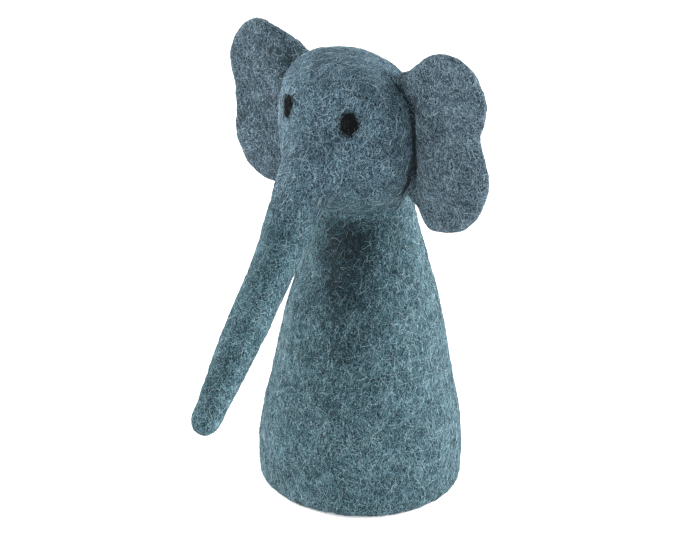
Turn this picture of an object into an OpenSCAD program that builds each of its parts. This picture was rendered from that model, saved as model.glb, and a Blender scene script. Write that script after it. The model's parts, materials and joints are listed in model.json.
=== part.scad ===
// Felted wool elephant puppet: a hollow body sleeve, a stuffed head, two ears and a trunk.
// Millimetres. +Z is up, the face looks towards -Y, and +X is the puppet's own left side.
// The origin is the centre of the sleeve's open mouth.

/* [Body sleeve] */
// Widest radius of the sleeve
belly_r = 27.2; // [26:0.1:28]
// Height of the widest place
belly_z = 11.5; // [10:0.5:13]
// Outer radius where the rim meets the ground
rim_r = 25.9; // [25.5:0.1:26.5]
// Radius of the rounded outer edge of the rim
rim_round = 1.6; // [1:0.1:2]
// How far the flank swells past a straight cone
flank_bulge = 1.3; // [0.5:0.1:2]
// Radius of the sleeve just under the head
shoulder_r = 13.4; // [12.8:0.1:14]
// Height of the shoulder under the head
shoulder_z = 73; // [72:0.5:74]
// Thickness of the felt
felt_wall = 3.3; // [3:0.1:3.8]
// Radius of the open mouth that takes the fingers
mouth_r = 22.6; // [22:0.1:23]
// Straight length of the mouth
mouth_length = 6; // [5:0.5:7]
// Height of the top of the finger pocket
pocket_top = 74.5; // [73:0.5:75]

/* [Neck] */
// Height of the point that the head turns and nods about
neck_z = 79; // [78.5:0.1:79.5]
// Radius of the felt knob at the top of the sleeve
neck_r = 8.2; // [8:0.1:8.4]
// Thickness of the needled band between the knob and the head
neck_band = 1; // [0.8:0.1:1.1]

/* [Head] */
// Half width of the head
head_r = 17; // [16.5:0.1:17.3]
// Half height of the head
head_half_h = 19.7; // [19:0.1:20.2]
// Squareness of the head's outline, 2 being an ellipse
head_square = 2.5; // [2.2:0.1:2.7]
// Forward tilt of the head at rest, in degrees
head_pitch = 6; // [3:1:8]
// Thickness of the dyed outer wool
skin_wall = 3; // [2.5:0.1:3.4]

/* [Eyes] */
// Radius of an eye
eye_r = 2.4; // [2:0.1:2.6]
// How far an eye stands proud of the head
eye_proud = 0.45; // [0.3:0.05:0.6]
// Left eye: turn from straight ahead, in degrees
left_eye_turn = 36; // [32:1:38]
// Left eye: height above the middle of the head
left_eye_h = 6.8; // [5:0.1:8]
// Right eye: turn from straight ahead, in degrees
right_eye_turn = 29; // [27:1:34]
// Right eye: height above the middle of the head
right_eye_h = 9.2; // [6:0.1:10]

/* [Ears] */
// Thickness of an ear
ear_wall = 3.4; // [3:0.1:3.6]
// How far the ears lie behind the middle of the head
ear_back = 2.6; // [2:0.1:3.2]

/* [Trunk] */
// Radius of the trunk at its root
trunk_root_r = 6.2; // [6:0.1:6.4]
// Radius of the trunk at its first bend
trunk_bend_r = 4.95; // [4.8:0.05:5.1]
// Radius of the trunk at its second bend
trunk_curl_r = 4.2; // [4.1:0.05:4.3]
// Radius of the trunk's rounded tip
trunk_tip_r = 3.4; // [3.2:0.1:3.6]
// Length of the first and of the second stretch of the trunk
stretch = 22; // [21:0.1:23]
// Length of the last stretch, up to the middle of the rounded tip
last_stretch = 19.8; // [18:0.1:21]
// Slope of the first stretch below level, in degrees
slope_base = 55; // [52:1:58]
// Slope of the second stretch below level, in degrees
slope_mid = 51; // [48:1:54]
// Slope of the last stretch below level, in degrees
slope_tip = 47; // [44:1:50]

/* [Hidden] */
$fn = 64;

// Working gap between two pieces that move on each other
gap = 0.3;
// Room to cut past a surface
past = 1;

wool_blue = "#5f7d8a";
wool_dark = "#4b6672";
wool_white = "#d9d4c6";
wool_black = "#23282a";

// Neck: the sleeve's shoulder slopes down from the knob and the head's underside slopes up,
// so that the head can nod between them.
neck = [0, 0, neck_z];
shoulder_slope = 12;
underside_slope = 11;
neck_socket_r = neck_r + neck_band + 2 * gap;
socket_wall = 2;

// Head: its middle, measured from the neck in the tilted frame of the head
head_forward = 3.8;
head_rise = 19.5;

// Trunk: its root pivot lies in the middle plane, just outside the lower face
trunk_root = [0, -23, 88.7];
trunk_bend = trunk_root + stretch * along(slope_base);
trunk_curl = trunk_bend + stretch * along(slope_mid);
trunk_band = 0.9;
trunk_socket_r = trunk_root_r + trunk_band + 2 * gap;

// Eyes: depth of the socket that each eye is needled into
eye_depth = 1.5;

// Ears: each swings about an upright line beside the head
ear_root_r = ear_wall / 2;
ear_hinge_x = sqrt(head_r * head_r - ear_back * ear_back) + ear_root_r + 0.45;
ear_root_low = -12;
ear_root_high = 12;
// Outline of an ear as seen from the front: [distance from the middle plane, height]
// above the middle of the head, round the upper lobe, in at the waist and round the lower one
ear_points = [[16, 12], [17.5, 17.6], [24.2, 22.2], [31.4, 22], [37.6, 16.8], [38.9, 9], [37.7, 2.6],
    [39.3, -6], [37.6, -14.8], [32.4, -21], [26.4, -23.2], [20.6, -19.6], [16, -12]];

// Direction of the trunk at a slope below level
function along(slope) = [0, -cos(slope), -sin(slope)];

// A point on the smooth curve between b and c, with a and d as their neighbours
function between(a, b, c, d, t) =
    0.5 * (2 * b + (c - a) * t + (2 * a - 5 * b + 4 * c - d) * t * t + (3 * b - a - 3 * c + d) * t * t * t);

// Distance from the head's middle line to its surface at a height
function head_r_at(h) = head_r * pow(1 - pow(abs(h) / head_half_h, head_square), 1 / head_square);

// How far the head's surface leans back at a height, in degrees
function face_lean(h) = let (power = head_square - 1)
    atan2(pow(h / head_half_h, power) / head_half_h, pow(head_r_at(h) / head_r, power) / head_r);

// A closed smooth curve through the points
function closed_curve(points, steps) = let (n = len(points)) [
    for (i = [0 : n - 1], j = [0 : steps - 1])
        between(points[(i + n - 1) % n], points[i], points[(i + 1) % n], points[(i + 2) % n], j / steps)];

// Outer radius of the sleeve at a height
function sleeve_r(z) = z < belly_z
    ? rim_r + (belly_r - rim_r) * sin(90 * z / belly_z)
    : let (t = (z - belly_z) / (shoulder_z - belly_z))
        belly_r + (shoulder_r - belly_r) * t + flank_bulge * sin(180 * t);

// Half outline of an egg: [radius, height] from the bottom to the top
function egg_outline(r, half_h, steps = 22) = [
    for (i = [0 : steps]) let (a = 180 * i / steps, power = 2 / head_square)
        [r * pow(sin(a), power), -half_h * sign(cos(a)) * pow(abs(cos(a)), power)]];

// Everything below a cone that opens upwards from the origin
module below_cone(slope, reach) {
    drop = reach * tan(slope);
    rotate_extrude()
        polygon([[0, -reach], [reach, -reach], [reach, drop], [0, 0]]);
}

// Puts a shape in the head's frame, whose origin is the middle of the head
module on_head() {
    translate(neck)
        rotate([head_pitch, 0, 0])
            translate([0, -head_forward, head_rise])
                children();
}

// Puts a shape that points up +Z on the trunk at a place, pointing down the trunk
module on_trunk(place, slope) {
    translate(place)
        rotate([90 + slope, 0, 0])
            children();
}

module egg(inset) {
    rotate_extrude()
        polygon(egg_outline(head_r - inset, head_half_h - inset));
}

// Outer form of the sleeve, closed at the top by a shoulder and the neck's knob
module sleeve_form() {
    flank = [for (z = [3 : 5 : 68]) [sleeve_r(z), z]];
    knob_z = neck_z - neck_r * tan(shoulder_slope);
    rotate_extrude()
        polygon(concat(
            [[0, 0], [rim_r - rim_round, 0]],
            [for (a = [30 : 30 : 90]) [rim_r - rim_round + rim_round * sin(a), rim_round * (1 - cos(a))]],
            flank,
            [[sleeve_r(shoulder_z), shoulder_z], [shoulder_r - 1, shoulder_z + 2.2],
                [shoulder_r - 2.8, knob_z - 0.55], [neck_r, knob_z], [0, knob_z]]));
    translate(neck)
        sphere(r = neck_r);
}

// The space inside the sleeve: a straight mouth and a finger pocket with a round top
module finger_pocket() {
    flank = [for (z = [belly_z : 5.5 : 67]) [sleeve_r(z) - felt_wall, z]];
    top_z = 68;
    top_r = sleeve_r(top_z) - felt_wall;
    rotate_extrude()
        polygon(concat(
            [[0, -past], [mouth_r, -past], [mouth_r, mouth_length]],
            flank,
            [for (a = [0 : 15 : 90]) [top_r * cos(a), top_z + (pocket_top - top_z) * sin(a)]]));
}

module body_sleeve() {
    color(wool_blue)
        difference() {
            sleeve_form();
            finger_pocket();
        }
}

// Needled band over the knob: it turns with the head and stays level when the head nods
module neck_seam() {
    color(wool_dark)
        translate(neck)
            difference() {
                sphere(r = neck_r + gap + neck_band);
                sphere(r = neck_r + gap);
                translate([0, 0, -20.6])
                    cube([40, 40, 40], center = true);
                cylinder(r = 3, h = 20);
            }
}

module head_core() {
    color(wool_white)
        difference() {
            on_head()
                egg(skin_wall);
            translate(neck)
                sphere(r = neck_socket_r + socket_wall);
            translate(trunk_root)
                sphere(r = trunk_socket_r + socket_wall);
        }
}

// Puts a shape that points outwards along +Z on the head's surface, at a turn and height
module on_face(turn, h) {
    on_head()
        rotate([0, 0, turn])
            translate([0, -head_r_at(h), h])
                rotate([90 - face_lean(h), 0, 0])
                    children();
}

module eye_socket(turn, h) {
    on_face(turn, h)
        translate([0, 0, -eye_depth])
            cylinder(r = eye_r, h = eye_depth + 2 * past);
}

// An eye: a plug of black wool with a domed face
module eye(turn, h) {
    dome_r = 1.5 * eye_r;
    on_face(turn, h)
        intersection() {
            translate([0, 0, -eye_depth])
                cylinder(r = eye_r, h = eye_depth + past);
            translate([0, 0, eye_proud - dome_r])
                sphere(r = dome_r);
        }
}

module head_skin() {
    color(wool_blue)
        difference() {
            on_head()
                egg(0);
            head_core();
            translate(neck)
                sphere(r = neck_socket_r);
            translate(neck)
                below_cone(underside_slope, 40);
            translate(trunk_root)
                sphere(r = trunk_socket_r);
            eye_socket(left_eye_turn, left_eye_h);
            eye_socket(-right_eye_turn, right_eye_h);
        }
}

module left_eye() {
    color(wool_black)
        eye(left_eye_turn, left_eye_h);
}

module right_eye() {
    color(wool_black)
        eye(-right_eye_turn, right_eye_h);
}

// One ear in the head's frame: a felt flap with two lobes, and a round bead along its root
module ear() {
    translate([0, ear_back, 0]) {
        intersection() {
            rotate([90, 0, 0])
                linear_extrude(height = ear_wall, center = true)
                    polygon(closed_curve(ear_points, 4));
            translate([ear_hinge_x, -10, -40])
                cube([40, 20, 80]);
        }
        translate([ear_hinge_x, 0, ear_root_low])
            cylinder(r = ear_root_r, h = ear_root_high - ear_root_low);
    }
}

// The needled channel that holds the bead of an ear against the head
module ear_seam() {
    difference() {
        translate([ear_hinge_x, ear_back, ear_root_low + 1])
            difference() {
                cylinder(r = ear_root_r + gap + 1, h = ear_root_high - ear_root_low - 2);
                translate([0, 0, -past])
                    cylinder(r = ear_root_r + gap, h = ear_root_high - ear_root_low);
                translate([-1.2, -10, -past])
                    cube([20, 20, 40]);
            }
        egg(0);
    }
}

module left_ear() {
    color(wool_blue)
        on_head()
            ear();
}

module right_ear() {
    color(wool_blue)
        on_head()
            mirror([1, 0, 0])
                ear();
}

module left_ear_seam() {
    color(wool_dark)
        on_head()
            ear_seam();
}

module right_ear_seam() {
    color(wool_dark)
        on_head()
            mirror([1, 0, 0])
                ear_seam();
}

// Needled cup behind the trunk's root: it sways with the trunk and stays put when the trunk lifts
module trunk_seam() {
    color(wool_dark)
        on_trunk(trunk_root, slope_base - 20)
            difference() {
                sphere(r = trunk_root_r + gap + trunk_band);
                sphere(r = trunk_root_r + gap);
                translate([0, 0, 20 - 4.2])
                    cube([40, 40, 40], center = true);
            }
}

// A tapered stretch of trunk that starts at one pivot and ends in a ball about the next
module trunk_stretch(start_r, end_r, length) {
    cylinder(r1 = start_r, r2 = end_r, h = length);
    translate([0, 0, length])
        sphere(r = end_r);
}

module trunk_base() {
    color(wool_blue)
        on_trunk(trunk_root, slope_base) {
            trunk_stretch(trunk_root_r, trunk_bend_r, stretch);
            sphere(r = trunk_root_r);
        }
}

module trunk_mid() {
    color(wool_blue)
        on_trunk(trunk_bend, slope_mid)
            difference() {
                trunk_stretch(trunk_bend_r, trunk_curl_r, stretch);
                sphere(r = trunk_bend_r + gap);
            }
}

module trunk_tip() {
    color(wool_blue)
        on_trunk(trunk_curl, slope_tip)
            difference() {
                trunk_stretch(trunk_curl_r, trunk_tip_r, last_stretch);
                sphere(r = trunk_curl_r + gap);
            }
}

body_sleeve();
neck_seam();
head_skin();
head_core();
left_eye();
right_eye();
left_ear();
right_ear();
left_ear_seam();
right_ear_seam();
trunk_seam();
trunk_base();
trunk_mid();
trunk_tip();
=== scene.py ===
"""Looks for the felted wool elephant puppet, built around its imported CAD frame.

The felt forms are described as distance fields in millimetres, meshed on a fine grid, roughened, and
covered with curly wool fibres. Positions come from the frame's joints.
"""

import json
import math

import bpy
import numpy as np
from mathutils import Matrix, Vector
from mathutils.bvhtree import BVHTree

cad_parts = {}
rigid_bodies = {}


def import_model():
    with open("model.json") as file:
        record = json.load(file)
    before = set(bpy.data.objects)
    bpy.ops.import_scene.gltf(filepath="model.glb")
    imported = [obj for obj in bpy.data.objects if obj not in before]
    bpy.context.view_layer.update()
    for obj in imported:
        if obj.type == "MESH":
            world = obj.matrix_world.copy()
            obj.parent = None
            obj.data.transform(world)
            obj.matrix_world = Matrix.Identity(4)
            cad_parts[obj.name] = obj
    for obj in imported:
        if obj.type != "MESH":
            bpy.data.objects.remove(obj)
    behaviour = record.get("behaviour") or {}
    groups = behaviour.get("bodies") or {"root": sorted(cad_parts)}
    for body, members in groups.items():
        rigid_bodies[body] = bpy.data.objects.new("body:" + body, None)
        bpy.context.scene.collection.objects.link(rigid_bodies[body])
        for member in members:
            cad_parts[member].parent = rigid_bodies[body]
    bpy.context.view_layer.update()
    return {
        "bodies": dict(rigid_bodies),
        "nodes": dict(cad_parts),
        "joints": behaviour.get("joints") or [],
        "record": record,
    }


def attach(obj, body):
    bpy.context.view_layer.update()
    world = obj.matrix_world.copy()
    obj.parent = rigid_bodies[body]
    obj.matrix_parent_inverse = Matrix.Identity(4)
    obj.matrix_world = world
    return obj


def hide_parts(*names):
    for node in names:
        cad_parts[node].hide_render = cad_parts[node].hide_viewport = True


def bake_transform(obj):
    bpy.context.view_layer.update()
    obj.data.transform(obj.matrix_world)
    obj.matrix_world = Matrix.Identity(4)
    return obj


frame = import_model()

MM = 0.001
joint_at = {j["name"]: np.array(j["pos_m"]) / MM for j in frame["joints"]}
NECK = joint_at["head_nod"]
TRUNK_ROOT = joint_at["trunk_lift"]
TRUNK_BEND = joint_at["trunk_curl"]
TRUNK_CURL = joint_at["trunk_tip_curl"]
EAR_HINGE = joint_at["left_ear_flap"]


# ---------------------------------------------------------------- small helpers

def unit(v):
    v = np.asarray(v, float)
    return v / np.linalg.norm(v)


def turn_x(degrees):
    a = math.radians(degrees)
    return np.array([[1, 0, 0], [0, math.cos(a), -math.sin(a)], [0, math.sin(a), math.cos(a)]])


def turn_y(degrees):
    a = math.radians(degrees)
    return np.array([[math.cos(a), 0, math.sin(a)], [0, 1, 0], [-math.sin(a), 0, math.cos(a)]])


def turn_z(degrees):
    a = math.radians(degrees)
    return np.array([[math.cos(a), -math.sin(a), 0], [math.sin(a), math.cos(a), 0], [0, 0, 1]])


def smooth_curve(points, steps, closed=False):
    """Points on a Catmull-Rom curve through the given ones."""
    p = np.asarray(points, float)
    n = len(p)
    if not closed:
        p = np.vstack([2 * p[0] - p[1], p, 2 * p[-1] - p[-2]])
    spans = range(n) if closed else range(1, n)
    out = []
    for i in spans:
        a, b, c, d = (p[(i + k) % len(p)] for k in (-1, 0, 1, 2))
        t = (np.arange(steps) / steps)[:, None]
        out.append(0.5 * (2 * b + (c - a) * t + (2 * a - 5 * b + 4 * c - d) * t ** 2
                          + (3 * b - a - 3 * c + d) * t ** 3))
    if not closed:
        out.append(p[-2][None])
    return np.vstack(out)


def smooth_min(a, b, reach):
    h = np.clip(reach - np.abs(a - b), 0, None) / reach
    return np.minimum(a, b) - h * h * reach / 4


def smooth_max(a, b, reach):
    return -smooth_min(-a, -b, reach)


def ripple(points, wavelength, seed, waves=28):
    """A smooth random field of about unit size, made of plane waves."""
    rng = np.random.default_rng(seed)
    k = rng.normal(size=(waves, 3))
    k *= (2 * math.pi / wavelength / np.linalg.norm(k, axis=1) * rng.uniform(0.7, 1.4, waves))[:, None]
    phase = rng.uniform(0, 2 * math.pi, waves)
    return np.cos(points @ k.T + phase).sum(1) * math.sqrt(2 / waves)


# ---------------------------------------------------------------- meshing a field

def surface_net(field, low, high, step):
    """Vertices and quads of the surface where field(points) is 0, from a grid of cubes."""
    low, high = np.asarray(low, float), np.asarray(high, float)
    counts = np.ceil((high - low) / step).astype(int) + 1
    axes = [low[i] + step * np.arange(counts[i]) for i in range(3)]
    values = np.empty(counts)
    for i, x in enumerate(axes[0]):
        y, z = np.meshgrid(axes[1], axes[2], indexing="ij")
        slab = np.stack([np.full_like(y, x), y, z], -1).reshape(-1, 3)
        values[i] = field(slab).reshape(counts[1:])
    inside = values < 0
    cells = counts - 1

    def corner(array, c):
        return array[c[0]:c[0] + cells[0], c[1]:c[1] + cells[1], c[2]:c[2] + cells[2]]

    corners = [(i, j, k) for i in (0, 1) for j in (0, 1) for k in (0, 1)]
    filled = sum(corner(inside, c).astype(np.int8) for c in corners)
    mixed = (filled > 0) & (filled < 8)
    index = np.full(cells, -1)
    index[mixed] = np.arange(mixed.sum())
    total, crossings = np.zeros((mixed.sum(), 3)), np.zeros(mixed.sum())
    for a in corners:
        for axis in range(3):
            if a[axis] == 0:
                b = tuple(a[i] + (i == axis) for i in range(3))
                va, vb = corner(values, a)[mixed], corner(values, b)[mixed]
                cross = (va < 0) != (vb < 0)
                place = np.tile(np.array(a, float), (len(va), 1))
                place[:, axis] += np.where(cross, va / np.where(cross, va - vb, 1), 0)
                total[cross] += place[cross]
                crossings += cross
    verts = low + step * (np.argwhere(mixed) + total / crossings[:, None])
    quads = []
    for axis in range(3):
        b, c = (axis + 1) % 3, (axis + 2) % 3
        first = [slice(1, -1)] * 3
        first[axis] = slice(0, -1)
        second = list(first)
        second[axis] = slice(1, None)
        start, end = inside[tuple(first)], inside[tuple(second)]
        for flip in (False, True):
            at = np.argwhere(start & ~end if not flip else end & ~start)
            at[:, b] += 1
            at[:, c] += 1
            ring = []
            for db, dc in ((-1, -1), (0, -1), (0, 0), (-1, 0)):
                cell = at.copy()
                cell[:, b] += db
                cell[:, c] += dc
                ring.append(index[tuple(cell.T)])
            quads.append(np.stack(ring if not flip else ring[::-1], 1))
    return settle(field, verts, 2), np.vstack(quads)


def slope_of(field, points, width=0.05):
    out = np.empty_like(points)
    for axis in range(3):
        shift = np.zeros(3)
        shift[axis] = width
        out[:, axis] = (field(points + shift) - field(points - shift)) / (2 * width)
    return out


def settle(field, points, rounds):
    """Moves points onto the surface of a field."""
    for _ in range(rounds):
        g = slope_of(field, points)
        points = points - field(points)[:, None] * g / np.maximum((g * g).sum(1), 1e-6)[:, None]
    return points


def diagonal_cross(verts, quads):
    """For each face a vector along its normal, twice as long as its area."""
    return np.cross(verts[quads[:, 2]] - verts[quads[:, 0]], verts[quads[:, 3]] - verts[quads[:, 1]])


def vertex_normals(verts, quads):
    normal = diagonal_cross(verts, quads)
    total = np.zeros_like(verts)
    for i in range(4):
        np.add.at(total, quads[:, i], normal)
    return total / np.maximum(np.linalg.norm(total, axis=1), 1e-9)[:, None]


def relax(verts, quads, rounds, amount=0.5):
    """Evens out the spacing of the vertices along the surface."""
    for _ in range(rounds):
        total, count = np.zeros_like(verts), np.zeros(len(verts))
        for i in range(4):
            a, b = quads[:, i], quads[:, (i + 1) % 4]
            np.add.at(total, a, verts[b])
            np.add.at(total, b, verts[a])
            np.add.at(count, a, 1)
            np.add.at(count, b, 1)
        pull = total / count[:, None] - verts
        n = vertex_normals(verts, quads)
        verts = verts + amount * (pull - n * (pull * n).sum(1)[:, None])
    return verts


# The uneven surface of hand felt: wavelength and height of its lumps, its dents and its grain
SURFACE_WAVES = ((7, 0.06), (3.2, 0.036), (1.5, 0.035))


def roughen(verts, quads, seed):
    n = vertex_normals(verts, quads)
    height = sum(high * ripple(verts, length, seed + i) for i, (length, high) in enumerate(SURFACE_WAVES))
    return verts + n * height[:, None]


# Spacing of the grids that the forms are meshed on
FELT_STEP = 0.5
EAR_STEP, SEAM_STEP, EYE_STEP = 0.5, 0.3, 0.2


def felt_form(field, low, high, step, seed):
    """The rough surface of a form that lies within the box from low to high."""
    verts, quads = surface_net(field, low, high, step)
    verts = settle(field, relax(verts, quads, 3), 1)
    return roughen(verts, quads, seed), quads


# ---------------------------------------------------------------- objects

def add_mesh(name, verts, faces, materials, normals=None, which=None, shade=None):
    """A smooth-shaded mesh object in metres. Its attribute 'rest' holds each vertex's place in
    millimetres before any pose, so that the wool's pattern stays with the felt, and 'shade' is less
    than 1 where shade is painted on the wool."""
    mesh = bpy.data.meshes.new(name)
    mesh.from_pydata((verts * MM).tolist(), [], [list(map(int, f)) for f in faces])
    for m in materials:
        mesh.materials.append(m)
    if which is not None:
        mesh.polygons.foreach_set("material_index", np.asarray(which, np.int32))
    mesh.polygons.foreach_set("use_smooth", np.ones(len(faces), bool))
    store = mesh.attributes.new("rest", "FLOAT_VECTOR", "POINT")
    store.data.foreach_set("vector", verts.astype(np.float32).ravel())
    if shade is not None:
        mesh.attributes.new("shade", "FLOAT", "POINT").data.foreach_set("value", shade.astype(np.float32))
    mesh.update()
    if normals is not None:
        mesh.normals_split_custom_set_from_vertices(normals.tolist())
    obj = bpy.data.objects.new(name, mesh)
    bpy.context.scene.collection.objects.link(obj)
    return obj


def cut_out(quads, keep):
    """The part of a mesh whose faces are kept: its vertices' numbers and its faces."""
    kept = quads[keep]
    used, faces = np.unique(kept, return_inverse=True)
    return used, faces.reshape(kept.shape)


# ---------------------------------------------------------------- wool fibres

FIBRE_SIDES = 3
FIBRES_EACH = 4500      # in one object
LOOSE_SHARE = 0.02      # of fibres that stand off the felt in loops
LOOSE_LIFT = 0.6
STRAY_SHARE = 0.15      # of fibres that stay pale where shade is painted
FIBRE_SUNK = 0.02       # how deep a fibre's ends sit in the felt
SWING_SHARE = (0.2, 0.9)    # how much of a fibre's curl swings to and fro
SWING_BEAT = (0.5, 1.6)     # radians per millimetre
RISE_BEAT = (0.4, 1.3)
PHASES = 6.28
ACROSS = np.array([0.3, -0.5, 0.81])    # any direction that few fibres follow


def tubes(paths, widths):
    """Thin closed tubes along paths (fibres, points, 3): vertices, faces and faces per tube."""
    count, rings = paths.shape[:2]
    along = np.gradient(paths, axis=1)
    along /= np.maximum(np.linalg.norm(along, axis=2), 1e-9)[..., None]
    side = np.cross(along, ACROSS)
    side /= np.maximum(np.linalg.norm(side, axis=2), 1e-9)[..., None]
    other = np.cross(along, side)
    inner = paths[:, 1:-1]
    ring = []
    for i in range(FIBRE_SIDES):
        a = 2 * math.pi * i / FIBRE_SIDES
        out = math.cos(a) * side[:, 1:-1] + math.sin(a) * other[:, 1:-1]
        ring.append(inner + out * widths[:, None, None])
    body = np.stack(ring, 2)
    per = 2 + (rings - 2) * FIBRE_SIDES
    verts = np.concatenate([paths[:, :1], body.reshape(count, -1, 3), paths[:, -1:]], 1).reshape(-1, 3)
    one = []
    for r in range(rings - 3):
        for i in range(FIBRE_SIDES):
            j = (i + 1) % FIBRE_SIDES
            a, b = 1 + r * FIBRE_SIDES, 1 + (r + 1) * FIBRE_SIDES
            one += [(a + i, a + j, b + j), (a + i, b + j, b + i)]
    last = 1 + (rings - 3) * FIBRE_SIDES
    for i in range(FIBRE_SIDES):
        j = (i + 1) % FIBRE_SIDES
        one += [(0, 1 + j, 1 + i), (last + i, last + j, per - 1)]
    one = np.array(one)
    faces = (one[None] + per * np.arange(count)[:, None, None]).reshape(-1, 3)
    return verts, faces, len(one)


def grow_fibres(verts, quads, count, rng, step=(0.25, 0.55), points=9, width=(0.015, 0.036),
                lift=(0.02, 0.2), curl=(0.05, 0.7), where=None, lean=0.0):
    """Curly fibres that lie on a felt surface: paths (count, points, 3) and radii. Each range is one
    that a fibre's value is drawn from: step from point to point, radius, height over the felt, and
    bend in radians per millimetre. where(places, normals) weights the surface, and lean draws the
    fibres upright."""
    tree = BVHTree.FromPolygons(verts.tolist(), quads.tolist())
    normal = vertex_normals(verts, quads)
    corners = verts[quads]
    area = np.linalg.norm(diagonal_cross(verts, quads), axis=1)
    if where is not None:
        area = area * where(corners.mean(1), normal[quads].mean(1))
    face = rng.choice(len(quads), count, p=area / area.sum())
    u, v = rng.random((2, count, 1))
    c = corners[face]
    place = (1 - u) * (1 - v) * c[:, 0] + u * (1 - v) * c[:, 1] + u * v * c[:, 2] + (1 - u) * v * c[:, 3]
    n = normal[quads[face, 0]]
    heading = np.cross(n, rng.normal(size=(count, 3)))
    heading[:, 2] += lean * rng.choice([-1, 1], count)
    bend = rng.uniform(*curl, count) * rng.choice([-1, 1], count)
    swing = rng.uniform(*SWING_SHARE, count)
    beat, phase = rng.uniform(*SWING_BEAT, count), rng.uniform(0, PHASES, count)
    rise = rng.uniform(*lift, count)
    wave, start = rng.uniform(*RISE_BEAT, count), rng.uniform(0, PHASES, count)
    rise = np.where(rng.random(count) < LOOSE_SHARE, LOOSE_LIFT, rise)
    step = rng.uniform(*step, count)
    paths = np.empty((count, points, 3))
    for s in range(points):
        height = rise * (0.3 + 0.7 * np.sin(wave * s * step + start)) - FIBRE_SUNK
        paths[:, s] = place + n * height[:, None]
        heading -= n * (heading * n).sum(1)[:, None]
        heading /= np.maximum(np.linalg.norm(heading, axis=1), 1e-9)[:, None]
        angle = (bend * (1 - swing) + bend * swing * 2 * np.sin(beat * s * step + phase)) * step
        heading = heading * np.cos(angle)[:, None] + np.cross(n, heading) * np.sin(angle)[:, None]
        ahead = place + heading * step[:, None]
        for i in range(count):
            near, facing, _, _ = tree.find_nearest(ahead[i])
            place[i] = near
            n[i] = facing
    return paths, rng.uniform(*width, count)


def fibre_pieces(name, paths, widths, tones, materials):
    """Fibres as several objects, each small enough to be kept whole as a mesh file."""
    made = []
    for i, first in enumerate(range(0, len(paths), FIBRES_EACH)):
        part = slice(first, first + FIBRES_EACH)
        verts, faces, per = tubes(paths[part], widths[part])
        which = np.repeat(tones[part], per)
        made.append(add_mesh(f"{name}_fibres_{i + 1}", verts, faces, materials, which=which))
    return made


# ---------------------------------------------------------------- materials

def node_tree(name):
    m = bpy.data.materials.new(name)
    m.use_nodes = True
    m.node_tree.nodes.clear()
    return m, m.node_tree.nodes, m.node_tree.links


# Layers of fibre lines: how each is turned in degrees, how much it covers, and how it is stretched
LAYER_TURNS = ((0, 90, 0), (0, 55, 20), (0, 120, 70), (0, 0, 45), (35, 80, 100), (0, 20, 130))
LAYER_WEIGHTS = (1.0, 0.85, 0.95, 0.6, 0.75, 0.5)
LAYER_STRETCH = (2.6, 0.42, 0.42)
LAYER_SHIFT = np.array([7.0, 3.0, 5.0])
LINE_WIDTH = 0.075
WARP_SCALE, WARP_REACH = 0.4, 1.6
BLOTCH_SCALE, BLOTCH_DEPTH = 0.18, 0.05
GRAIN_SCALE, GRAIN_FLOOR = 3.0, 0.62
SHADE_KNEE = 1.5        # where 'shade' is below 1 / this, the felt is darker still
TONE_PLACES = (0.0, 0.42, 0.72, 1.0)
REGION_CHANGE = (72, 94)    # heights between which the wool passes from the body's to the head's
BUMP_HEIGHT = 0.25 * MM
SHEEN_TINT = (0.7, 0.85, 0.92, 1)


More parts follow.
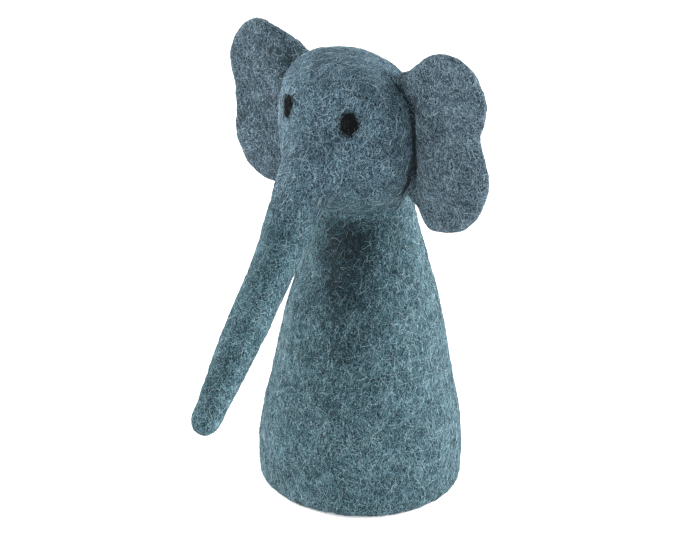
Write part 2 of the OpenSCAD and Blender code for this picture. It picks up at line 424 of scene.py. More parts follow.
def felt_material(name, low_tones, high_tones, sheen=0.06, bump=0.9, shaded=True, gloss=0.06):
    """Matted wool: fine curling lines laid in several directions over a dark ground. Tones are the
    colours of the gaps, the deeper fibres, the upper fibres and the palest ones; they pass from
    low_tones to high_tones up the puppet. A shaded felt is darker where shade is painted on it
    ('shade' less than 1)."""
    m, nodes, links = node_tree(name)

    def node(kind, **values):
        n = nodes.new("ShaderNode" + kind)
        for key, value in values.items():
            setattr(n, key, value)
        return n

    def math_node(operation, a, b, clamp=False):
        n = node("Math", operation=operation, use_clamp=clamp)
        for socket, value in zip(n.inputs, (a, b)):
            if isinstance(value, (int, float)):
                socket.default_value = value
            else:
                links.new(value, socket)
        return n.outputs[0]

    def noise(vector, scale, detail, rough=0.5):
        n = node("TexNoise")
        links.new(vector, n.inputs["Vector"])
        n.inputs["Scale"].default_value = scale
        n.inputs["Detail"].default_value = detail
        n.inputs["Roughness"].default_value = rough
        return n.outputs

    def ramp(value, low, high, to_low=0.0, to_high=1.0):
        n = node("MapRange", interpolation_type="SMOOTHSTEP")
        links.new(value, n.inputs["Value"])
        for key, x in (("From Min", low), ("From Max", high), ("To Min", to_low), ("To Max", to_high)):
            n.inputs[key].default_value = x
        return n.outputs["Result"]

    def mix(factor, a, b):
        n = node("Mix", data_type="RGBA")
        links.new(factor, n.inputs["Factor"])
        for key, value in (("A", a), ("B", b)):
            socket = [s for s in n.inputs if s.name == key and s.type == "RGBA"][0]
            links.new(value, socket)
        return [s for s in n.outputs if s.type == "RGBA"][0]

    def toned(value, tones):
        n = node("ValToRGB")
        for i in range(len(tones) - 2):
            n.color_ramp.elements.new(0.5)
        for element, place, tone in zip(n.color_ramp.elements, TONE_PLACES, tones):
            element.position = place
            element.color = tone
        links.new(value, n.inputs["Fac"])
        return n.outputs["Color"]

    rest = node("Attribute", attribute_name="rest").outputs["Vector"]
    warp = node("VectorMath", operation="MULTIPLY_ADD")
    links.new(noise(rest, WARP_SCALE, 2)["Color"], warp.inputs[0])
    warp.inputs[1].default_value = (WARP_REACH,) * 3
    links.new(rest, warp.inputs[2])

    cover = None
    for i, (turn, weight) in enumerate(zip(LAYER_TURNS, LAYER_WEIGHTS)):
        mapping = node("Mapping", vector_type="TEXTURE")
        links.new(warp.outputs[0], mapping.inputs["Vector"])
        mapping.inputs["Rotation"].default_value = [math.radians(x) for x in turn]
        mapping.inputs["Scale"].default_value = LAYER_STRETCH
        mapping.inputs["Location"].default_value = LAYER_SHIFT * i
        value = noise(mapping.outputs[0], 1.0, 1)["Fac"]
        away = math_node("ABSOLUTE", math_node("SUBTRACT", value, 0.5), 0.0)
        line = ramp(away, 0.0, LINE_WIDTH, weight, 0.0)
        cover = line if cover is None else math_node("MAXIMUM", cover, line)

    blotch = noise(rest, BLOTCH_SCALE, 3)["Fac"]
    grain = noise(rest, GRAIN_SCALE, 2, 0.6)["Fac"]
    depth = math_node("MULTIPLY", cover, ramp(grain, 0.3, 0.6, GRAIN_FLOOR, 1.0))
    depth = math_node("ADD", depth, ramp(blotch, 0.35, 0.65, -BLOTCH_DEPTH, BLOTCH_DEPTH), clamp=True)
    if shaded:
        shade = node("Attribute", attribute_name="shade").outputs["Fac"]
        depth = math_node("POWER", depth, math_node("DIVIDE", 1.0, shade))
        depth = math_node("MULTIPLY", depth, math_node("MULTIPLY", shade, SHADE_KNEE, clamp=True))
    height = node("SeparateXYZ")
    links.new(rest, height.inputs[0])
    region = ramp(height.outputs["Z"], *REGION_CHANGE)
    colour = mix(region, toned(depth, low_tones), toned(depth, high_tones))

    bump_node = node("Bump")
    bump_node.inputs["Strength"].default_value = bump
    bump_node.inputs["Distance"].default_value = BUMP_HEIGHT
    links.new(math_node("ADD", cover, grain), bump_node.inputs["Height"])

    shader = node("BsdfPrincipled")
    links.new(colour, shader.inputs["Base Color"])
    shader.inputs["Roughness"].default_value = 0.95
    shader.inputs["Specular IOR Level"].default_value = gloss
    shader.inputs["Sheen Weight"].default_value = sheen
    shader.inputs["Sheen Roughness"].default_value = 0.5
    shader.inputs["Sheen Tint"].default_value = SHEEN_TINT
    links.new(bump_node.outputs[0], shader.inputs["Normal"])
    out = node("OutputMaterial")
    links.new(shader.outputs[0], out.inputs["Surface"])
    return m


def fibre_material(name, colour, sheen=0.06):
    m, nodes, links = node_tree(name)
    shader = nodes.new("ShaderNodeBsdfPrincipled")
    shader.inputs["Base Color"].default_value = colour
    shader.inputs["Roughness"].default_value = 0.75
    shader.inputs["Specular IOR Level"].default_value = 0.12
    shader.inputs["Sheen Weight"].default_value = sheen
    out = nodes.new("ShaderNodeOutputMaterial")
    links.new(shader.outputs[0], out.inputs["Surface"])
    return m


# Shares of red and blue beside green, in linear light: the darkest wool of each region, and the palest
TINTS = {"body": (0.36, 1.30), "head": (0.46, 1.42), "ear": (0.56, 1.38)}
PALE_TINT = (0.80, 1.04)
PALE_GREEN = 0.5
# Green of the gaps, the deeper fibres, the upper fibres and the palest ones
GROUND_GREENS = (0.003, 0.016, 0.09, 0.28)
FIBRE_GREENS = {"pale": 0.40, "light": 0.27, "mid": 0.11, "dim": 0.04, "dark": 0.007}
TONE_SHARES = (0.17, 0.31, 0.20, 0.06, 0.26)
DARK_TONE = 4
# Greens of the dark strips in the ears' creases, which are painted shade, and of their fibres
CREASE_SHADE_GREENS = (0.004, 0.012, 0.03, 0.06)
CREASE_SHADE_FIBRE_GREENS = {"crease_shade_fibre": 0.02, "crease_shade_fibre_light": 0.07, "crease_shade_fibre_pale": 0.22}
CREASE_SHADE_FIBRE_SHARES = (0.6, 0.25, 0.15)
BLACK_GREENS = (0.001, 0.003, 0.007, 0.018)
BLACK_TINT = (0.8, 1.05)
BLACK_FIBRE_SHARES = (0.88, 0.12)


def dyed(region, green):
    """Linear colour of the dyed wool; the paler it is, the nearer to grey."""
    t = min(green / PALE_GREEN, 1)
    red, blue = (deep + (pale - deep) * t for deep, pale in zip(TINTS[region], PALE_TINT))
    return (green * red, green, green * blue, 1.0)


def ground(region):
    return [dyed(region, green) for green in GROUND_GREENS]


blue_felt = felt_material("blue_felt", ground("body"), ground("head"))
ear_felt = felt_material("ear_felt", ground("ear"), ground("ear"))
# the dark strips in the ears' creases are painted shade
crease_shade_tones = [dyed("body", green) for green in CREASE_SHADE_GREENS]
crease_shade_felt = felt_material("crease_shade_felt", crease_shade_tones, crease_shade_tones, sheen=0.05, shaded=False)
black_tones = [(BLACK_TINT[0] * green, green, BLACK_TINT[1] * green, 1.0) for green in BLACK_GREENS]
black_felt = felt_material("black_felt", black_tones, black_tones, sheen=0.0, shaded=False, gloss=0.03)
fibres_of = {region: [fibre_material(f"{region}_fibre_{tone}", dyed(region, green))
                      for tone, green in FIBRE_GREENS.items()] for region in TINTS}
black_fibres = [fibre_material("fibre_black", (0.003, 0.004, 0.0045, 1), 0.0),
                fibre_material("fibre_grey", (0.035, 0.045, 0.05, 1))]
crease_shade_fibres = [fibre_material(name, dyed("body", green)) for name, green in CREASE_SHADE_FIBRE_GREENS.items()]


# ---------------------------------------------------------------- the sleeve

SLEEVE_LEAN = 0.022
SLEEVE_SHIFT = -0.3
SLEEVE_TOP = 85.0
SHOULDER_ROUND = 8
FELT_WALL = 3.3
# Height and outer radius
SLEEVE_OUTLINE = smooth_curve([(0, 26.3), (3, 27.0), (11.5, 27.2), (20, 26.2), (30, 24.0), (41, 21.9),
                               (52, 19.5), (62, 16.4), (72, 13.6), (79, 11.6), (85, 9.5)], 8)
RIM_SWELL = 1.3
RIM_HEIGHT = 9
RIM_SIDE = np.array([0.86, -0.5])
RIM_ROUND, RIM_INNER_ROUND = 2.0, 1.6
MOUTH_R = 22.6          # of the mouth, which is straight as far as MOUTH_TOP and widens above it
MOUTH_TOP, MOUTH_FLARE = 4, 0.25
POCKET_TOP = 73.4
SKIRT_LOW = 74.2
SKIRT_THICK, SKIRT_SUNK, SKIRT_FADE, SKIRT_ROUND = 0.55, 0.2, 6, 0.6


def ease(t):
    t = np.clip(t, 0, 1)
    return t * t * (3 - 2 * t)


def sleeve_wall(p):
    """Distance from the middle line of the sleeve, and its outer radius there. The rim swells a
    little on one side."""
    z = p[:, 2]
    x = p[:, 0] - SLEEVE_SHIFT - SLEEVE_LEAN * z
    rho = np.hypot(x, p[:, 1])
    facing = (x * RIM_SIDE[0] + p[:, 1] * RIM_SIDE[1]) / np.maximum(rho, 1)
    swell = RIM_SWELL * ease(1 - z / RIM_HEIGHT) * np.maximum(facing, 0) ** 2
    return rho, np.interp(z, SLEEVE_OUTLINE[:, 0], SLEEVE_OUTLINE[:, 1]) + swell


def sleeve_field(p):
    """The hollow body, open below."""
    z = p[:, 2]
    rho, r = sleeve_wall(p)
    outer = smooth_max(rho - r, z - SLEEVE_TOP, SHOULDER_ROUND)
    outer = smooth_max(outer, -z, RIM_ROUND)
    pocket_r = np.minimum(r - FELT_WALL, MOUTH_R + MOUTH_FLARE * np.maximum(z - MOUTH_TOP, 0))
    pocket = smooth_max(rho - pocket_r, z - POCKET_TOP, SHOULDER_ROUND)
    return smooth_max(outer, -pocket, RIM_INNER_ROUND)


def skirt_field(p):
    """Wool drawn down from the chin over the shoulder of the sleeve, thinning out on it."""
    z = p[:, 2]
    rho, r = sleeve_wall(p)
    cover = SKIRT_THICK * ease((z - SKIRT_LOW) / SKIRT_FADE) - SKIRT_SUNK
    return np.maximum(smooth_max(rho - r - cover, SKIRT_LOW - z, SKIRT_ROUND), z - SLEEVE_TOP - 1)


# ---------------------------------------------------------------- the head with its trunk

HEAD_SIZE = np.array([18.5, 15.9, 19.4])    # half widths, the last one upwards
HEAD_LOW = 21.0         # half width downwards
HEAD_SQUARE = 2.6       # 2 is an egg's outline, more is squarer
HEAD_TURN = turn_y(1.6) @ turn_x(6)
HEAD_MIDDLE = NECK + np.array([0.6, -6.2, 19.2])
CROWN_SLOPE = np.array([0.08, 0.06])
CHIN_JOIN, TRUNK_JOIN = 4.0, 5.5
RAY_LENGTH = 40
FAR = 10.0


def head_field(p):
    """A squarish egg whose crown slopes."""
    q = (p - HEAD_MIDDLE) @ HEAD_TURN
    size_z = np.where(q[:, 2] > 0, HEAD_SIZE[2] - q[:, :2] @ CROWN_SLOPE, HEAD_LOW)
    s = np.abs(q) / HEAD_SIZE
    s[:, 2] = np.abs(q[:, 2]) / size_z
    level = ((s[:, 0] ** 2 + s[:, 1] ** 2) ** (HEAD_SQUARE / 2) + s[:, 2] ** HEAD_SQUARE) ** (1 / HEAD_SQUARE)
    return np.linalg.norm(q, axis=1) * (1 - 1 / np.maximum(level, 1e-6))


def chain_field(p, line, girth):
    """Distance to a chain of tapered links, or FAR where that is less."""
    out = np.full(len(p), FAR)
    near = np.all((p > line.min(0) - FAR) & (p < line.max(0) + FAR), axis=1)
    q = p[near]
    best = out[near]
    for a, b, ra, rb in zip(line, line[1:], girth, girth[1:]):
        d = b - a
        t = np.clip(((q - a) @ d) / (d @ d), 0, 1)
        best = np.minimum(best, np.linalg.norm(q - a - t[:, None] * d, axis=1) - ra - t * (rb - ra))
    out[near] = best
    return out


TRUNK_IN = TRUNK_ROOT + (TRUNK_ROOT - TRUNK_BEND) * 0.42 + np.array([0, 1.5, 0])
TRUNK_TIP_R = 3.4
trunk_dir = unit(TRUNK_CURL - TRUNK_BEND)
tip_dir = turn_x(-4) @ trunk_dir
TRUNK_TIP = TRUNK_CURL + tip_dir * 19.8 + np.array([0.9, 0, 0])
TRUNK_LINE = smooth_curve([TRUNK_IN, TRUNK_ROOT, TRUNK_BEND + [0.2, 0, 0], TRUNK_CURL + [-0.1, 0, 0],
                           TRUNK_TIP], 6)
TRUNK_GIRTH = smooth_curve([(0, 7.6), (1, 7.05), (2, 5.5), (3, 4.85), (4, TRUNK_TIP_R)], 6)[:, 1]


def head_surface(start, inward):
    """The first point of the head along a ray in millimetres."""
    along = start + np.linspace(0, RAY_LENGTH, 800)[:, None] * inward
    return along[np.argmax(head_field(along) < 0)]


# ---------------------------------------------------------------- the ears

EAR_THICK = 3.4
EAR_EDGE = 0.6          # how much wider than half its thickness the ear's edge is rounded
# Distance from the middle of the head, and height above the middle of the ear
EAR_OUTLINES = {
    "left_ear": [(12, 11.5), (17, 16.4), (22.3, 20.4), (27.2, 22.2), (32.9, 21.7), (37.4, 18.1), (39.6, 12),
                 (38.8, 7), (37.4, 2.8), (38.4, -2), (39.7, -8), (38, -15.2), (33.1, -21.6), (27, -24.3),
                 (21.4, -23.8), (16.3, -18.4), (12, -12)],
    "right_ear": [(12, 12.6), (16, 17.3), (21.5, 21.6), (27.5, 23.7), (33.2, 22.2), (37.7, 17.5), (39.5, 11),
                  (38.3, 4.5), (38.2, -1), (39.2, -8), (37.8, -14), (34, -18.4), (29.4, -20.1), (23, -19.6),
                  (12, -14)],
}
EAR_ROOT_BACK = 1.7     # the root sits further back than the rest
EAR_ROOT_OUT, EAR_ROOT_FADE = 17, 5
EAR_WAVE, EAR_WAVE_LENGTH, EAR_WAVE_FADE = 0.45, 26, 8
EAR_SIDE = {"left_ear": 1, "right_ear": -1}
ear_turn = turn_x(6)
EAR_MIDDLE = EAR_HINGE * np.array([0, 1, 1])


def outline_distance(p, outline):
    """Signed distance of 2-D points to a closed outline, negative inside."""
    best = np.full(len(p), 1e9)
    crossings = np.zeros(len(p), int)
    for a, b in zip(outline, np.roll(outline, -1, 0)):
        d = b - a
        t = np.clip(((p - a) @ d) / (d @ d), 0, 1)
        best = np.minimum(best, np.linalg.norm(p - a - t[:, None] * d, axis=1))
        if a[1] != b[1]:
            x = a[0] + (p[:, 1] - a[1]) * d[0] / d[1]
            crossings += ((a[1] > p[:, 1]) != (b[1] > p[:, 1])) & (p[:, 0] < x)
    return np.where(crossings % 2, -best, best)


def ear_form(name, seed):
    """An ear in its place: vertices, quads and its flat outline."""
    outline = smooth_curve(EAR_OUTLINES[name], 5, closed=True)
    half = EAR_THICK / 2
    rounded = half + EAR_EDGE

    def field(p):
        edge = outline_distance(p[:, [0, 2]], outline)
        return np.hypot(np.maximum(edge + rounded, 0) / rounded * half, p[:, 1]) - half

    verts, quads = felt_form(field, (9, -3, -26), (42, 3, 26), EAR_STEP, seed)
    verts[:, 1] += EAR_ROOT_BACK * (1 - ease((verts[:, 0] - EAR_ROOT_OUT) / EAR_ROOT_FADE))
    wave = EAR_WAVE * ripple(verts * [1, 0, 1], EAR_WAVE_LENGTH, seed + 5, waves=12)
    verts[:, 1] += wave * ease((verts[:, 0] - EAR_ROOT_OUT - 1) / EAR_WAVE_FADE)
    if EAR_SIDE[name] < 0:
        verts = verts * np.array([-1, 1, 1])
        quads = quads[:, ::-1]
    return verts @ ear_turn.T + EAR_MIDDLE, quads, outline


# Seams: the lines along which the faces of an ear meet the head, before it (-1) and behind it (1)
SEAM_OUT = 1.6
SEAM_REACH = 16.0
SEAM_LOW = 15.0
SEAM_POINTS = 15
SEAM_BOW = {-1: 2.6, 1: 0.8}
SEAM_R = 0.8
SEAM_DEPTH = 0.9
GROOVE_R, GROOVE_ROUND = 1.4, 0.8
# Painted shade on the head and ears along the ears' seams, where the crease between them lies in shadow: how
# dark it gets
SEAM_SHADE = 0.9
# Where the painted shade beside a seam begins, in height above the middle of the ear, and over how far it
# fades in
SEAM_SHADE_TOP, SEAM_TOP_FADE = 13, 10
SEAM_SHADE_LOW, SEAM_LOW_FADE = -18, 5


def seam_line(side, face):
    """Along the head beside an ear, in front of it (face -1) or behind it (face 1); it bows away
    from the ear towards its ends."""
    line = []
    for w in np.linspace(-SEAM_LOW, SEAM_REACH, SEAM_POINTS):
        out = SEAM_OUT + SEAM_BOW[face] * (w / SEAM_REACH) ** 2
        start = ear_turn @ np.array([side * RAY_LENGTH, EAR_ROOT_BACK + face * out, w]) + EAR_MIDDLE
        line.append(head_surface(start, ear_turn @ np.array([-side, 0, 0])))
    return np.array(line)


SEAM_LINES = {(name, face): seam_line(side, face) for name, side in EAR_SIDE.items() for face in (-1, 1)}
SEAM_TAPER = np.sin(np.linspace(0.12, math.pi - 0.12, SEAM_POINTS)) ** 0.5


def face_field(p):
    """The head with its skirt and trunk, grooved along the ears."""
    form = smooth_min(head_field(p), skirt_field(p), CHIN_JOIN)
    form = smooth_min(form, chain_field(p, TRUNK_LINE, TRUNK_GIRTH), TRUNK_JOIN)
    for line in SEAM_LINES.values():
        form = smooth_max(form, -chain_field(p, line, GROOVE_R * SEAM_TAPER), GROOVE_ROUND)
    return form


# Painted shade under the chin, down the middle of the body's front and in the fold of the cheek: where it is,
# how far it reaches, how many times shorter it is upwards, and how dark it is
PAINTED_SHADE = [
    (NECK + np.array([5.5, -12, -7.5]), np.array([9, 13, 50]), 8.5, 0.62),
    (NECK + np.array([7, -16, 7.5]), np.array([9, 9, 4.5]), 1, 0.15),
]


def shade_at(p, reach):
    """How light the wool is: less than 1 where shade is painted under the chin, down the front and in the
    cheek's fold, and within reach of the ears' seams.
    """
    shade = np.ones(len(p))
    for place, size, shorter, dark in PAINTED_SHADE:
        q = (p - place) / size
        q[:, 2] *= np.where(q[:, 2] > 0, shorter, 1)
        shade *= 1 - dark * np.exp(-(q ** 2).sum(1))
    # painted shade along the ears' seams, faded out towards their top and bottom
    w = ((p - EAR_MIDDLE) @ ear_turn)[:, 2]
    depth = SEAM_SHADE * ease((SEAM_SHADE_TOP - w) / SEAM_TOP_FADE) * ease((w - SEAM_SHADE_LOW) / SEAM_LOW_FADE)
    for line in SEAM_LINES.values():
        away = chain_field(p, line, np.zeros(len(line)))
        shade *= 1 - depth * np.exp(-(away / reach) ** 2)
    return shade


# ---------------------------------------------------------------- pieces

TABLE = 0.05            # no wool is lower than this
HEAD_WOOL, HEAD_WOOL_SPREAD = 83, 5     # height where the fibres turn from the body's to the head's


def split_and_cover(form, parts, seed, density, regions, reach=2.4, tone=1.0, **fibres):
    """Makes the felt and the fibres of each part of a form, density fibres to the square millimetre.
    A part is (name, material, test) where test(points) says which points belong to it, the first that
    does winning. regions are the names of the wool below and above the neck, reach is that of the
    painted shade beside a seam, and a tone below 1 paints shade over the whole form."""
    verts, quads = form
    verts = verts.copy()
    verts[:, 2] = np.maximum(verts[:, 2], TABLE)
    rng = np.random.default_rng(seed)
    normals = vertex_normals(verts, quads)
    area = np.linalg.norm(diagonal_cross(verts, quads), axis=1).sum() / 2
    count = int(area * density)
    paths, widths = grow_fibres(verts, quads, count, rng, **fibres)
    paths[..., 2] = np.maximum(paths[..., 2], TABLE)
    tones = rng.choice(len(TONE_SHARES), count, p=TONE_SHARES)
    # fibres step to darker tones where shade is painted
    shade = tone * shade_at(paths[:, paths.shape[1] // 2], reach)
    darker = (rng.random((3, count)) > shade).sum(0)
    darker = np.where(rng.random(count) < STRAY_SHARE, np.minimum(darker, 1), darker)
    tones = np.minimum(tones + darker, DARK_TONE)
    tones += len(TONE_SHARES) * (paths[:, 0, 2] > rng.normal(HEAD_WOOL, HEAD_WOOL_SPREAD, count))
    materials = fibres_of[regions[0]] + fibres_of[regions[1]]
    centres = verts[quads].mean(1)
    free_faces, free_fibres = np.ones(len(quads), bool), np.ones(count, bool)
    made = {}
    for name, material, test in parts:
        mine = free_faces & test(centres)
        free_faces &= ~mine
        used, faces = cut_out(quads, mine)
        felt = add_mesh(name, verts[used], faces, [material], normals[used],
                        shade=tone * shade_at(verts[used], reach))
        own = free_fibres & test(paths[:, 0])
        free_fibres &= ~own
        made[name] = [felt] + fibre_pieces(name, paths[own], widths[own], tones[own], materials)
    return made


def everywhere(points):
    return np.ones(len(points), bool)


def beyond(place, direction):
    return lambda points: (points - place) @ direction > 0


# Planes that part the head from the trunk and the trunk's stretches from each other
FACE_OUT = unit([0, -0.9, -0.43])
CUT_FACE = TRUNK_ROOT - 3.0 * FACE_OUT
CUT_SWAY = TRUNK_ROOT + 2.5 * FACE_OUT
base_dir = unit(TRUNK_BEND - TRUNK_ROOT)
CUT_BASE = TRUNK_ROOT + 17 * base_dir
CUT_MID = TRUNK_BEND + 11.0 * trunk_dir

# Eyes: turn from straight ahead in degrees, height above the middle of the head, half width and
# half height
EYES = {"left_eye": (37.4, 6.8, 2.2, 2.85), "right_eye": (-29.5, 8.6, 1.8, 2.65)}
EYE_BULGE = 0.85
EYE_TAPER = 0.2
EYE_SQUARE = 2.4
EYE_WOBBLE, EYE_WOBBLE_LENGTH = 0.08, 2.2
EYE_NEAR = 3            # how far an eye's outline reaches in and out of the head
EYE_FIBRES = 520
CREASE_SHADE_FIBRE_COUNT = 500
THIN_COVER = 0.05       # weight of fibres where others hide them


def eye_frame(name):
    """An eye's place on the head, and its axes across, up and out."""
    turn, height = EYES[name][:2]
    aim = turn_z(turn) @ np.array([0, -1, 0])
    start = HEAD_MIDDLE + HEAD_TURN @ (aim * RAY_LENGTH + np.array([0, 0, height]))
    place = head_surface(start, HEAD_TURN @ -aim)
    n = unit(slope_of(head_field, place[None])[0])
    across = unit(np.cross([0, 0, 1], n))
    return place, np.stack([across, np.cross(n, across), n], 1), *EYES[name][2:]


def eye_level(points, frame):
    """Below 1 inside the outline of an eye, which narrows downwards; and the points along its axes."""
    place, basis, half_w, half_h = frame
    q = (points - place) @ basis
    width = half_w * (1 + EYE_TAPER * np.clip(q[:, 1] / half_h, -1.2, 1.2))
    level = np.abs(q[:, 0] / width) ** EYE_SQUARE + np.abs(q[:, 1] / half_h) ** EYE_SQUARE
    return level ** (1 / EYE_SQUARE), q


eye_frames = {name: eye_frame(name) for name in EYES}


def face_weight(places, normals):
    """Fewer fibres where the eyes are."""
    weight = np.ones(len(places))
    for frame in eye_frames.values():
        level, q = eye_level(places, frame)
        weight[(level < 0.95) & (np.abs(q[:, 2]) < EYE_NEAR)] = THIN_COVER
    return weight


def sleeve_weight(places, normals):
    """Fewer fibres inside the sleeve and under the head."""
    inside = normals[:, 0] * places[:, 0] + normals[:, 1] * places[:, 1] < 0
    return np.where((places[:, 2] > SKIRT_LOW + 4) | inside, THIN_COVER, 1.0)


FELT_COVER, EAR_COVER = 1.8, 1.7    # fibres to the square millimetre
sleeve = split_and_cover(
    felt_form(sleeve_field, (-31, -31, -3), (32, 31, 88), FELT_STEP, seed=11),
    [("body_felt", blue_felt, everywhere)],
    seed=21, density=FELT_COVER, regions=("body", "head"), where=sleeve_weight, lean=1.4)
face_form = felt_form(face_field, (-22, -72, 30), (23, 14, 122), FELT_STEP, seed=12)
face = split_and_cover(
    face_form,
    [
        ("trunk_tip_felt", blue_felt, beyond(CUT_MID, trunk_dir)),
        ("trunk_mid_felt", blue_felt, beyond(CUT_BASE, base_dir)),
        ("trunk_base_felt", blue_felt, beyond(CUT_SWAY, FACE_OUT)),
        ("trunk_root_felt", blue_felt, beyond(CUT_FACE, FACE_OUT)),
        ("head_felt", blue_felt, everywhere),
    ],
    seed=22, density=FELT_COVER, regions=("body", "head"), where=face_weight, lean=0.8)
ears = {}
# The right ear, the far one, gets tone 0.88: painted shade that darkens its felt and fibres all over
for seed, name, tone in ((13, "left_ear", 1.0), (14, "right_ear", 0.88)):
    verts, quads, outline = ear_form(name, seed)
    ears.update(split_and_cover(
        (verts, quads), [(name + "_felt", ear_felt, everywhere)],
        seed=seed + 10, density=EAR_COVER, regions=("ear", "ear"), reach=1.3, tone=tone))


def eye(name, seed):
    """A flat blob of black wool needled into the head, with a frayed edge."""
    frame = eye_frames[name]
    place = frame[0]

    def field(p):
        level, q = eye_level(p, frame)
        wobble = 1 - EYE_WOBBLE + EYE_WOBBLE * ripple(q, EYE_WOBBLE_LENGTH, seed)
        return (np.hypot(level / wobble, q[:, 2] / EYE_BULGE) - 1) * EYE_BULGE

    verts, quads = felt_form(field, place - 5, place + 5, EYE_STEP, seed)
    rng = np.random.default_rng(seed)
    felt = add_mesh(name + "_wool", verts, quads, [black_felt], vertex_normals(verts, quads))

    def rim(places, normals):
        level, q = eye_level(places, frame)
        return np.where((level < 1.0) & (np.abs(q[:, 2]) < EYE_NEAR), 1.0, 0.0)

    paths, widths = grow_fibres(*face_form, EYE_FIBRES, rng, step=(0.12, 0.28), points=7, width=(0.03, 0.05),
                                lift=(0.3, 0.75), curl=(0.4, 2.0), where=rim)
    tones = rng.choice(len(black_fibres), EYE_FIBRES, p=BLACK_FIBRE_SHARES)
    return [felt] + fibre_pieces(name + "_wool", paths, widths, tones, black_fibres)


def seam(name, seed):
    """Dark strips of wool along both faces of an ear's root: painted shade for the shadowed crease where the
    ear meets the head.
    """
    rng = np.random.default_rng(seed)
    lines = []
    for face_side in (-1, 1):
        line = SEAM_LINES[name, face_side]
        lines.append(line - SEAM_DEPTH * slope_of(head_field, line))

    def field(p):
        return np.minimum(*(chain_field(p, line, SEAM_R * SEAM_TAPER) for line in lines))

    both = np.vstack(lines)
    verts, quads = felt_form(field, both.min(0) - 2, both.max(0) + 2, SEAM_STEP, seed)
    felt = add_mesh(name + "_seam_wool", verts, quads, [crease_shade_felt], vertex_normals(verts, quads))
    paths, widths = grow_fibres(verts, quads, CREASE_SHADE_FIBRE_COUNT, rng, step=(0.25, 0.5), lift=(0.05, 0.5))
    tones = rng.choice(len(crease_shade_fibres), CREASE_SHADE_FIBRE_COUNT, p=CREASE_SHADE_FIBRE_SHARES)
    return [felt] + fibre_pieces(name + "_seam_wool", paths, widths, tones, crease_shade_fibres)


eyes = {"left_eye": eye("left_eye", 31), "right_eye": eye("right_eye", 32)}
seams = {"left_ear": seam("left_ear", 33), "right_ear": seam("right_ear", 34)}

# ---------------------------------------------------------------- riding, and the other pieces baked in place

for piece in sleeve["body_felt"]:
    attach(piece, "sleeve")
for piece in eyes["left_eye"] + eyes["right_eye"] + seams["left_ear"] + seams["right_ear"]:
    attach(piece, "head")


def blend_pieces(pieces, a, b, start, end):
    for piece in pieces:
        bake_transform(piece)


NECK_BEND = unit([0, -0.35, 0.94])
blend_pieces(face["head_felt"], "neck", "head", NECK + 0.6 * NECK_BEND, NECK + 6.2 * NECK_BEND)
blend_pieces(face["trunk_root_felt"], "head", "trunk_root",
             CUT_FACE + 0.5 * FACE_OUT, CUT_SWAY - 0.5 * FACE_OUT)
blend_pieces(face["trunk_base_felt"], "trunk_base", "trunk_root",
             CUT_SWAY + 9.2 * FACE_OUT, CUT_SWAY + 0.5 * FACE_OUT)
blend_pieces(face["trunk_mid_felt"], "trunk_base", "trunk_mid",
             TRUNK_BEND - 4.2 * trunk_dir, TRUNK_BEND + 6 * trunk_dir)
blend_pieces(face["trunk_tip_felt"], "trunk_mid", "trunk_tip",
             TRUNK_CURL - 6 * tip_dir, TRUNK_CURL + 6 * tip_dir)
EAR_BEND = (-1.6, 2.4)      # from the hinge outwards
for name, side in EAR_SIDE.items():
    ends = [EAR_HINGE * [side, 1, 1] + [side * x, 0, 0] for x in EAR_BEND]
    blend_pieces(ears[name + "_felt"], "head", name, *ends)

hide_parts("body_sleeve")
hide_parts("head_skin", "head_core", "neck_seam")
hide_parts("trunk_seam")
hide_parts("trunk_base")
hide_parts("trunk_mid")
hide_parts("trunk_tip")
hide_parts("left_ear")
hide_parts("right_ear")
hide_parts("left_eye")
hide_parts("right_eye")
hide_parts("left_ear_seam")
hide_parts("right_ear_seam")

# ---------------------------------------------------------------- studio

def softbox(name, aim, offset, size, power):
    """An area light that stands off from aim by offset and looks at it."""
    data = bpy.data.lights.new(name, "AREA")
    data.shape = "RECTANGLE"
    data.size, data.size_y = size
    data.energy = power
    obj = bpy.data.objects.new(name, data)
    obj.location = aim + offset
    obj.rotation_mode = "QUATERNION"
    obj.rotation_quaternion = (-offset).to_track_quat("-Z", "Y")
    bpy.context.scene.collection.objects.link(obj)


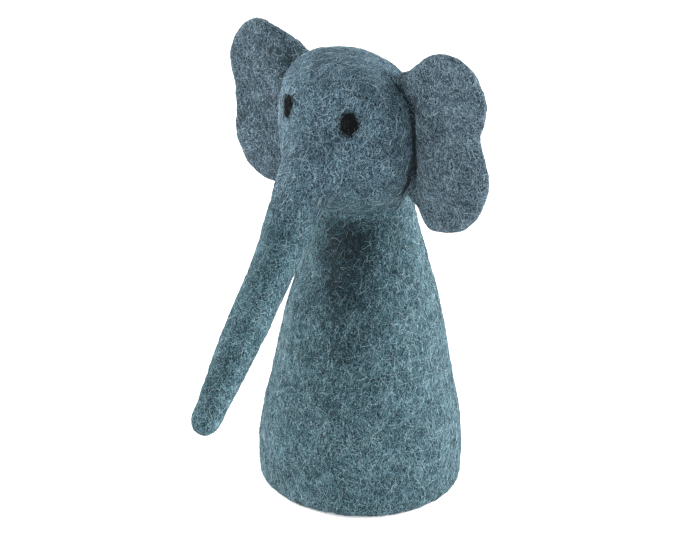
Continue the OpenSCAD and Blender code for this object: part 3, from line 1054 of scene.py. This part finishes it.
AZIMUTH, ELEVATION = math.radians(37.1), math.radians(20.5)
DISTANCE = 0.4274
TARGET = Vector((-0.00594, -0.00136, 0.05808))
FOCAL = 86.25
back = Vector((math.sin(AZIMUTH) * math.cos(ELEVATION), -math.cos(AZIMUTH) * math.cos(ELEVATION),
               math.sin(ELEVATION)))
right = Vector((math.cos(AZIMUTH), math.sin(AZIMUTH), 0))
away = Vector((-math.sin(AZIMUTH), math.cos(AZIMUTH), 0))

camera = bpy.data.cameras.new("camera")
camera.lens = FOCAL
camera.sensor_width = 36
camera.clip_start = 0.02
camera.clip_end = 20
view = bpy.data.objects.new("camera", camera)
view.location = TARGET + back * DISTANCE
view.rotation_mode = "QUATERNION"
view.rotation_quaternion = back.to_track_quat("Z", "Y")
bpy.context.scene.collection.objects.link(view)
bpy.context.scene.camera = view

up = Vector((0, 0, 1))
middle = Vector((0, -0.01, 0.06))
softbox("left_softbox", middle, -0.42 * right + 0.2 * away + 0.15 * up, (0.5, 0.6), 9.9)
softbox("right_softbox", middle, 0.42 * right + 0.08 * away + 0.1 * up, (0.5, 0.6), 10.9)
softbox("front_softbox", middle, -0.08 * right - 0.4 * away + 0.2 * up, (0.35, 0.35), 1.6)

world = bpy.data.worlds.new("studio")
world.use_nodes = True
background = world.node_tree.nodes["Background"]
background.inputs["Color"].default_value = (1, 1, 1, 1)
background.inputs["Strength"].default_value = 0.58
bpy.context.scene.world = world

floor_material, nodes, links = node_tree("floor")
floor_shader = nodes.new("ShaderNodeBsdfPrincipled")
floor_shader.inputs["Base Color"].default_value = (0.9, 0.9, 0.9, 1)
floor_shader.inputs["Roughness"].default_value = 0.9
floor_shader.inputs["Emission Color"].default_value = (1, 1, 1, 1)
floor_shader.inputs["Emission Strength"].default_value = 0.3
floor_out = nodes.new("ShaderNodeOutputMaterial")
links.new(floor_shader.outputs[0], floor_out.inputs["Surface"])
FLOOR = 4.0
floor_mesh = bpy.data.meshes.new("floor")
floor_mesh.from_pydata([(-FLOOR, -FLOOR, 0), (FLOOR, -FLOOR, 0), (FLOOR, FLOOR, 0), (-FLOOR, FLOOR, 0)],
                       [], [(0, 1, 2, 3)])
floor_mesh.materials.append(floor_material)
floor = bpy.data.objects.new("floor", floor_mesh)
bpy.context.scene.collection.objects.link(floor)

bpy.context.scene.view_settings.view_transform = "Standard"

bpy.context.view_layer.update()
